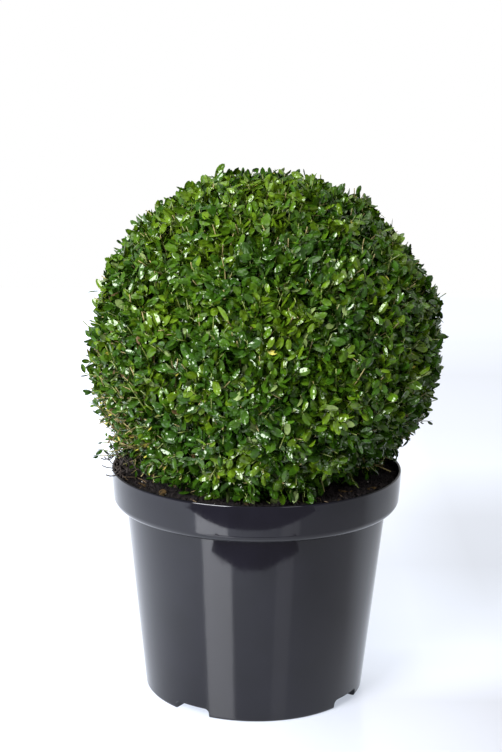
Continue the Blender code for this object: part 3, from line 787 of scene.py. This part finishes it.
def build_stem(material):
    """The stem with its flare and the ridges of its bark."""
    share = np.linspace(0, 1, STEM_RINGS)
    angles = np.arange(STEM_SIDES) * math.tau / STEM_SIDES
    points = np.zeros((STEM_RINGS, STEM_SIDES, 3))
    for ring, middle in enumerate(stem_point(share)):
        for side, angle in enumerate(angles):
            across = direction_at(angle, 0)
            ridges = noise.noise(across * 3.2 + Vector((0, 0, middle[2] * 28)))
            cracks = noise.noise(across * 7.0 + Vector((9, 3, middle[2] * 75)))
            relief = 1 + BARK_RELIEF * ridges + BARK_RELIEF * 0.6 * cracks
            radius = stem_radius(share[ring]) * (relief - BARK_RELIEF)
            points[ring, side] = middle + np.array(across) * radius
    index = np.arange(STEM_RINGS * STEM_SIDES).reshape(-1, STEM_SIDES)
    faces = [ring_walls(index), index[:1, ::-1], index[-1:]]
    return mesh_object("stem_bark", points, faces, material)


def rough_tubes(name, sets, sides, relief, material):
    """Joined tubes whose thickness varies a little along them."""
    points, faces, start = [], [], 0
    rng = np.random.default_rng(PLANT_SEED + len(name))
    for paths, radii in sets:
        tube, parts = tubes(paths, radii * (1 + rng.normal(0, relief, radii.shape)), sides)
        points.append(tube)
        faces += [part + start for part in parts]
        start += len(tube)
    return mesh_object(name, np.concatenate(points), faces, material)


def refined(paths, radii):
    """Twice as many points along each path, on a smooth curve through them."""
    padded = np.pad(paths, ((0, 0), (1, 1), (0, 0)), "edge")
    fine = paths.repeat(2, 1)[:, :-1]
    fine[:, 1::2] = ((paths[:, :-1] + paths[:, 1:]) * 9 - padded[:, :-3] - padded[:, 3:]) / 16
    fine_radii = radii.repeat(2, 1)[:, :-1]
    fine_radii[:, 1::2] = (radii[:, :-1] + radii[:, 1:]) / 2
    return fine, fine_radii


def build_foliage(plant, materials):
    """Leaves sorted into pieces by kind: by spray first, then by leaf."""
    *arrays, tints, special = (np.concatenate(parts) for parts in zip(*plant.leaves))
    rng = np.random.default_rng(PLANT_SEED + 1)
    shade = tints * SHADE_SHARES[0] + rng.random(len(tints)) * SHADE_SHARES[1]
    kinds = np.digitize(shade, SHADE_LIMITS)
    kinds = np.where(special > 0, len(SHADE_LIMITS) + special, kinds)
    pieces = []
    for kind, name in enumerate(LEAF_KINDS):
        chosen = [values[kinds == kind] for values in arrays]
        pieces.append(leaf_object(name, chosen, materials[name], rng))
    return pieces


def build_soil_cover(material):
    """The loose, uneven top of the peat, from the middle out to the pot's wall."""
    rings = np.linspace(0, 1, SOIL_RINGS)[1:] ** 0.7
    angles = np.arange(SOIL_SEGMENTS) * math.tau / SOIL_SEGMENTS
    edge = SOIL_RADIUS - 2 * GAP
    points = [(0.0, 0.0, SOIL_EDGE + SOIL_RISE + 0.0005)]
    for share in rings:
        height = SOIL_EDGE + SOIL_RISE * (1 + math.cos(math.pi * share)) / 2 + 0.0004
        for angle in angles:
            place = direction_at(angle, 0) * edge * share
            relief = noise.fractal(place * 70, 0.9, 2.1, 4) + 0.6 * noise.noise(place * 420)
            points.append((place.x, place.y, height + SOIL_RELIEF * max(0.0, 0.5 + relief)))
    index = 1 + np.arange(len(rings) * SOIL_SEGMENTS).reshape(-1, SOIL_SEGMENTS)
    walls = ring_walls(index)[:, [0, 3, 2, 1]]
    first = index[0]
    fan = np.stack([np.zeros_like(first), first, np.roll(first, -1)], -1)
    return mesh_object("soil_cover", np.array(points), [fan, walls], material)


def lumps_object(name, centres, sizes, rng, material):
    """Joined small eight-faced lumps, each squashed and turned its own way."""
    shape = np.array([(1, 0, 0), (0, 1, 0), (-1, 0, 0), (0, -1, 0), (0, 0, 1), (0, 0, -1)], float)
    sides = [(0, 1, 4), (1, 2, 4), (2, 3, 4), (3, 0, 4), (1, 0, 5), (2, 1, 5), (3, 2, 5), (0, 3, 5)]
    count = len(centres)
    stretch = rng.uniform(0.55, 1.25, (count, 1, 3))
    turn = rng.uniform(0, math.tau, (count, 1))
    ragged = rng.uniform(0.7, 1.2, (count, 6, 1))
    x, y, z = np.moveaxis(shape * stretch * ragged * sizes[:, None, None], -1, 0)
    cos, sin = np.cos(turn), np.sin(turn)
    points = np.stack([x * cos - y * sin, x * sin + y * cos, z], -1) + centres[:, None]
    faces = (np.array(sides) + 6 * np.arange(count)[:, None, None]).reshape(-1, 3)
    return mesh_object(name, points, [faces], material, smooth=False)


def soil_places(count, lifts, rng):
    """Places a little above the soil, most of them near its edge where it shows."""
    lift = rng.uniform(*lifts, count)
    edge = SOIL_RADIUS - BITS_INSET
    radius = edge * rng.uniform(0.15, 1, count) ** 0.45
    angle = rng.uniform(0, math.tau, count)
    height = SOIL_EDGE + SOIL_RISE * (1 + np.cos(math.pi * radius / edge)) / 2 + lift
    return round_axis(radius, angle, height)


def level_headings(count, tilt, rng):
    """Headings all round that tilt a little up or down."""
    angle = rng.uniform(0, math.tau, count)
    return round_axis(1, angle, rng.normal(0, tilt, count))


def within_pot(points):
    return np.hypot(points[:, 0], points[:, 1]) < SOIL_RADIUS - BITS_CLEARANCE


def build_straw(rng, material):
    middles = soil_places(STRAW_COUNT, STRAW_LIFTS, rng)
    along = level_headings(STRAW_COUNT, 0.12, rng)
    along = along * rng.uniform(*STRAW_HALF_LENGTHS, STRAW_COUNT)[:, None]
    inside = within_pot(middles - along) & within_pot(middles + along)
    share = np.linspace(-1, 1, 4)[:, None]
    paths = (middles[:, None] + along[:, None] * share)[inside]
    paths[:, 1:3] += rng.normal(0, 0.0006, (len(paths), 2, 3))
    paths[..., 2] = np.maximum(paths[..., 2], SOIL_EDGE + 0.001)
    radii = rng.uniform(*STRAW_RADII, (len(paths), 1)).repeat(4, 1)
    points, faces = tubes(paths, radii, 4)
    return mesh_object("soil_straw", points, faces, material)


def build_fallen_leaves(rng, material):
    places = soil_places(FALLEN_COUNT, FALLEN_LIFTS, rng)
    along = unit(level_headings(FALLEN_COUNT, 0.1, rng))
    inside = within_pot(places + along * LEAF_LENGTH)
    facing = unit(rng.normal(0, 0.25, (FALLEN_COUNT, 3)) + [0, 0, 1])
    lengths = rng.uniform(*FALLEN_SIZES, FALLEN_COUNT) * LEAF_LENGTH
    arrays = [values[inside] for values in (places, along, facing, lengths)]
    return leaf_object("fallen_leaves", arrays, material, rng)


def build_soil_bits(materials):
    """Crumbs, pale grains, straw and fallen leaves on the peat."""
    rng = np.random.default_rng(PLANT_SEED + 2)
    places = soil_places(CRUMB_COUNT, CRUMB_LIFTS, rng)
    sizes = np.abs(rng.normal(*CRUMB_SIZE, CRUMB_COUNT)) + CRUMB_SMALLEST
    crumbs = lumps_object("soil_crumbs", places, sizes, rng, materials["peat"])
    places = soil_places(GRAIN_COUNT, GRAIN_LIFTS, rng)
    sizes = rng.uniform(*GRAIN_SIZES, GRAIN_COUNT)
    grains = lumps_object("soil_grains", places, sizes, rng, materials["pale_grains"])
    straw = build_straw(rng, materials["straw"])
    return [crumbs, grains, straw, build_fallen_leaves(rng, materials["leaves_dead"])]


def stray_twigs(plant):
    """A few low twigs that clipping missed, which reach out over the pot's rim."""
    upwards = np.array([0.0, 0.0, 1.0])
    share = np.repeat(STRAY_LEAF_PLACES, 2)[:, None]
    count = len(share)
    for azimuth, height, length, rise in STRAY_TWIGS:
        root = round_axis(STRAY_ROOT, azimuth, height)
        heading = unit(round_axis(1, azimuth, rise))
        tip = root + heading * length
        paths, radii = plant.bent(root[None], tip[None], 5, 0.05, STRAY_RADII)
        plant.twigs.append((paths, radii))
        places = paths[0, 0] * (1 - share) + paths[0, -1] * share
        across = unit(np.cross(heading, upwards))
        above = np.cross(heading, across)
        along = unit(heading * 0.7 + [across, -across, above, -above, across, -across])
        facing = np.tile(unit(upwards - heading * 0.3), (count, 1))
        sizes = LEAF_LENGTH * plant.rng.uniform(*STRAY_LEAF_SIZES, count)
        tints = np.full(count, STRAY_TINT)
        plant.leaves.append([places, along, facing, sizes, tints, np.zeros(count, int)])


def dry_twigs():
    """A loose mat of thin dead twigs that lies over the left of the rim."""
    rng = np.random.default_rng(PLANT_SEED + 3)
    count = DRY_TWIG_COUNT
    azimuth = rng.uniform(*DRY_TWIG_AZIMUTHS, count)
    distance = rng.uniform(*DRY_TWIG_DISTANCES, count)
    starts = round_axis(distance, azimuth, rng.uniform(*DRY_TWIG_HEIGHTS, count))
    outward = round_axis(1, azimuth, np.zeros(count))
    headings = unit(outward * 0.25 + rng.normal(0, 0.6, (count, 3)) * [1.0, 1.0, 0.6])
    ends = starts + headings * rng.uniform(*DRY_TWIG_LENGTHS, (count, 1))
    share = np.linspace(0, 1, 5)[:, None]
    sag = np.array([0.0, 0.0, -DRY_TWIG_SAG]) * np.sin(math.pi * share)
    paths = starts[:, None] * (1 - share) + ends[:, None] * share + sag
    free = is_free(paths, 0.0008).all(1)
    radii = rng.uniform(0.0003, 0.0007, (count, 1)).repeat(5, 1)
    return paths[free], radii[free]


def add_node(tree, kind, values=None, sources=None):
    """A node with values set on its sockets and other nodes' outputs led into them."""
    node = tree.nodes.new(kind)
    for socket, value in (values or {}).items():
        node.inputs[socket].default_value = value
    for socket, source in (sources or {}).items():
        tree.links.new(source, node.inputs[socket])
    return node


def noise_node(tree, scale, detail=3.0, stretch=(1, 1, 1)):
    place = add_node(tree, "ShaderNodeTexCoord").outputs["Object"]
    place = add_node(tree, "ShaderNodeMapping", {"Scale": stretch}, {"Vector": place}).outputs["Vector"]
    values = {"Scale": scale, "Detail": detail}
    return add_node(tree, "ShaderNodeTexNoise", values, {"Vector": place}).outputs["Fac"]


def ramp_node(tree, source, stops):
    ramp = add_node(tree, "ShaderNodeValToRGB", sources={"Fac": source})
    elements = ramp.color_ramp.elements
    while len(elements) < len(stops):
        elements.new(0.5)
    for element, (place, colour) in zip(elements, stops):
        element.position = place
        element.color = (*colour, 1.0)
    return ramp.outputs["Color"]


def range_node(tree, source, span, low=0.0, high=1.0):
    """The source's span mapped to low at its start and high at its end."""
    values = {"From Min": span[0], "From Max": span[1], "To Min": low, "To Max": high}
    return add_node(tree, "ShaderNodeMapRange", values, {"Value": source}).outputs["Result"]


def new_material(name, values):
    """A material, its nodes, and its shader with values set on its sockets."""
    material = bpy.data.materials.new(name)
    material.use_nodes = True
    shader = material.node_tree.nodes["Principled BSDF"]
    for socket, value in values.items():
        shader.inputs[socket].default_value = value
    return material, material.node_tree, shader


def noisy_material(name, stops, tones, roughness, scuffs, relief, bumps, **values):
    """Uneven tone, roughness and relief. Tones, scuffs and bumps are a noise's scale and so on."""
    material, tree, shader = new_material(name, values)
    colour = ramp_node(tree, noise_node(tree, *tones), stops)
    rough = range_node(tree, noise_node(tree, *scuffs), NOISE_SPAN, *roughness)
    values = {"Strength": relief[0], "Distance": relief[1]}
    bump = add_node(tree, "ShaderNodeBump", values, {"Height": noise_node(tree, *bumps)})
    tree.links.new(colour, shader.inputs["Base Color"])
    tree.links.new(rough, shader.inputs["Roughness"])
    tree.links.new(bump.outputs["Normal"], shader.inputs["Normal"])
    return material


def leaf_material(name, colour, roughness, specular):
    """Waxy leaves of one colour, mottled a little lighter and darker, with greenish glints."""
    stops = [(place, [channel * tone for channel in colour]) for place, tone in LEAF_TONES]
    limits = (roughness - 0.06, roughness + 0.08)
    values = {"Specular IOR Level": specular, "Specular Tint": (*LEAF_GLINT, 1.0)}
    ripple = (280.0, 0.0)
    return noisy_material(name, stops, [160.0], limits, [420.0], (0.7, 0.0013), ripple, **values)


def plastic_material():
    """Glossy black moulded plastic with a faint ripple and fine upright scuffs."""
    stops = [(0.35, (0.0018, 0.0017, 0.0034)), (0.65, (0.0032, 0.0030, 0.0056))]
    scuffs, ripple = (90.0, 4.0, (6, 6, 0.35)), (55.0, 2.0, (1, 1, 0.5))
    relief = (0.04, 0.0012)
    return noisy_material(
        "pot_plastic", stops, [22.0], PLASTIC_ROUGHNESS, scuffs, relief, ripple, IOR=PLASTIC_IOR
    )


def peat_material():
    """Dark, crumbly peat."""
    stops = [(0.32, (0.002, 0.001, 0.001)), (0.55, (0.006, 0.0035, 0.003)), (0.75, (0.018, 0.01, 0.008))]
    grain, crumbs = (380.0, 6.0), (900.0, 6.0)
    values = {"Specular IOR Level": 0.3}
    return noisy_material("peat", stops, grain, (0.95, 0.75), grain, (0.6, 0.0012), crumbs, **values)


def bits_material(name, dark, light, roughness):
    stops = [(0.35, dark), (0.65, light)]
    limits = (roughness - 0.05, roughness + 0.1)
    return noisy_material(name, stops, [260.0], limits, [500.0], (0.3, 0.0005), [1300.0])


def bark_material():
    """Grey-brown bark with darker cracks along the limb."""
    stops = [(0.3, (0.03, 0.02, 0.013)), (0.5, (0.11, 0.08, 0.05)), (0.75, (0.22, 0.17, 0.11))]
    streaks = (240.0, 6.0, (1, 1, 0.25))
    return noisy_material("bark", stops, streaks, (0.9, 0.75), streaks, (0.7, 0.0015), streaks)


def make_materials():
    materials = {"plastic": plastic_material(), "peat": peat_material(), "bark": bark_material()}
    for name, look in BITS.items():
        materials[name] = bits_material(name, *look)
    for name, look in LEAF_KINDS.items():
        materials[name] = leaf_material(name, *look)
    return materials


def build_camera():
    """The photograph's viewpoint, lens and slight roll."""
    place = Matrix.Translation((0, -CAMERA_DISTANCE, CAMERA_HEIGHT))
    heading = Matrix.Rotation(-CAMERA_YAW, 4, "Z")
    downwards = Matrix.Rotation(math.pi / 2 - CAMERA_PITCH, 4, "X")
    roll = Matrix.Rotation(CAMERA_ROLL, 4, "Z")
    data = bpy.data.cameras.new("camera")
    data.lens = data.sensor_width * FOCAL_PIXELS / PHOTO_HEIGHT_PIXELS
    camera = new_object("camera", data)
    camera.matrix_world = place @ heading @ downwards @ roll
    bpy.context.scene.camera = camera


def soft_box(name, azimuth, elevation, distance, width, height, radiance, colour, mirrored):
    """A soft box that faces the plant. Azimuth counts from the front, to the right if positive."""
    direction = direction_at(math.radians(azimuth - 90), math.radians(elevation))
    data = bpy.data.lights.new(name, "AREA")
    data.shape = "RECTANGLE"
    data.size = width
    data.size_y = height
    data.energy = radiance * math.pi * width * height
    data.color = colour
    light = new_object(name, data)
    light.location = LIGHT_TARGET + direction * distance
    light.rotation_euler = direction.to_track_quat("Z", "Y").to_euler()
    light.visible_camera = False
    light.visible_glossy = mirrored


def build_world():
    """A white background for the eye, and a studio that is dim at the front and bright behind."""
    world = bpy.data.worlds.new("studio")
    bpy.context.scene.world = world
    world.use_nodes = True
    tree = world.node_tree
    tree.nodes.clear()
    place = add_node(tree, "ShaderNodeTexCoord").outputs["Generated"]
    parts = add_node(tree, "ShaderNodeSeparateXYZ", sources={"Vector": place})
    glow = ramp_node(tree, range_node(tree, parts.outputs["Y"], STUDIO_SPAN), STUDIO_TONES)
    room = add_node(tree, "ShaderNodeBackground", sources={"Color": glow})
    plain = add_node(tree, "ShaderNodeBackground", {"Color": (*BACKGROUND, 1.0)})
    seen = add_node(tree, "ShaderNodeLightPath").outputs["Is Camera Ray"]
    sources = {0: seen, 1: room.outputs[0], 2: plain.outputs[0]}
    mix = add_node(tree, "ShaderNodeMixShader", sources=sources)
    add_node(tree, "ShaderNodeOutputWorld", sources={"Surface": mix.outputs[0]})


def build_floor():
    """A glossy white table top whose glow is painted light, bright on the left and dimmer on the right
    with a painted soft shadow of the ball, so that real shadows on it stay faint.
    """
    corners = []
    for (left, left_edge, left_gap), (right, right_edge, right_gap) in zip(FLOOR_FRONT, FLOOR_FRONT[1:]):
        spans = [(left_edge, right_edge, FLOOR_BACK)]
        if left_gap and right_gap:
            spans = [(left_edge, right_edge, FLOOR_GAP_FRONT), (left_gap, right_gap, FLOOR_BACK)]
        for left_near, right_near, far in spans:
            corners += [(left, left_near, 0), (right, right_near, 0), (right, far, 0), (left, far, 0)]
    faces = np.arange(len(corners)).reshape(-1, 4)
    values = {"Base Color": (*FLOOR_COLOUR, 1), "Emission Color": (*FLOOR_TINT, 1), "IOR": FLOOR_IOR}
    material, tree, shader = new_material("white_floor", values)
    place = add_node(tree, "ShaderNodeTexCoord").outputs["Object"]
    parts = add_node(tree, "ShaderNodeSeparateXYZ", sources={"Vector": place}).outputs
    # Painted light: the glow is bright on the left and falls to a painted shade on the right
    glow = range_node(tree, parts["X"], FLOOR_PAINTED_LIGHT_SPAN, *FLOOR_PAINTED_LIGHT)
    first, last = FLOOR_PAINTED_SHADOW_ALONG[0][0], FLOOR_PAINTED_SHADOW_ALONG[-1][0]
    stops = [((along - first) / (last - first), (level,) * 3) for along, level in FLOOR_PAINTED_SHADOW_ALONG]
    # Painted soft shadow of the ball: dips in the right-hand floor's glow along Y
    painted_shadow_bands = ramp_node(tree, range_node(tree, parts["Y"], (first, last)), stops)
    total = add_node(tree, "ShaderNodeMath")
    total.operation = "MULTIPLY_ADD"
    for index, source in enumerate((painted_shadow_bands, range_node(tree, parts["X"], FLOOR_RIGHT_SPAN), glow)):
        tree.links.new(source, total.inputs[index])
    tree.links.new(total.outputs["Value"], shader.inputs["Emission Strength"])
    rough = range_node(tree, noise_node(tree, 3.0), NOISE_SPAN, *FLOOR_ROUGHNESS)
    tree.links.new(rough, shader.inputs["Roughness"])
    floor = mesh_object("floor", np.array(corners), [faces], material, smooth=False)


def build_studio():
    build_camera()
    build_world()
    build_floor()
    for light in SOFT_BOXES:
        soft_box(*light)
    settings = bpy.context.scene.view_settings
    settings.view_transform = "Standard"
    settings.look = "None"


def build_plant(materials):
    """Pieces of leaves, and the boughs, branches and twigs that carry them."""
    plant = Plant()
    plant.grow_limbs()
    plant.grow_twigs()
    plant.grow_upright()
    stray_twigs(plant)
    leaves = build_foliage(plant, materials)
    green, straw = plant.dealt_twigs()
    return leaves, [
        rough_tubes("boughs", [refined(*plant.boughs)], 12, 0.06, materials["bark"]),
        rough_tubes("branches", [refined(*plant.branches)], 7, 0.06, materials["brown_twig"]),
        rough_tubes("green_twigs", green, 3, 0.05, materials["green_twig"]),
        rough_tubes("straw_twigs", straw, 3, 0.05, materials["straw_twig"]),
        rough_tubes("dry_twigs", [dry_twigs()], 4, 0.05, materials["dry_twig"]),
    ]


def main():
    build_studio()
    materials = make_materials()
    pot = build_pot(materials["plastic"])
    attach(pot, "root")
    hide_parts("pot")
    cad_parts["soil"].data.materials.clear()
    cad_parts["soil"].data.materials.append(materials["peat"])
    for piece in [build_soil_cover(materials["peat"]), *build_soil_bits(materials)]:
        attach(piece, "root")
    stem = build_stem(materials["bark"])
    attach(stem, "root")
    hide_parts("stem")
    leaves, limbs = build_plant(materials)
    for piece in limbs:
        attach(piece, "root")
    for piece in leaves:
        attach(piece, "root")
    for piece in [*leaves, *limbs]:
        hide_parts("foliage_ball")


main()
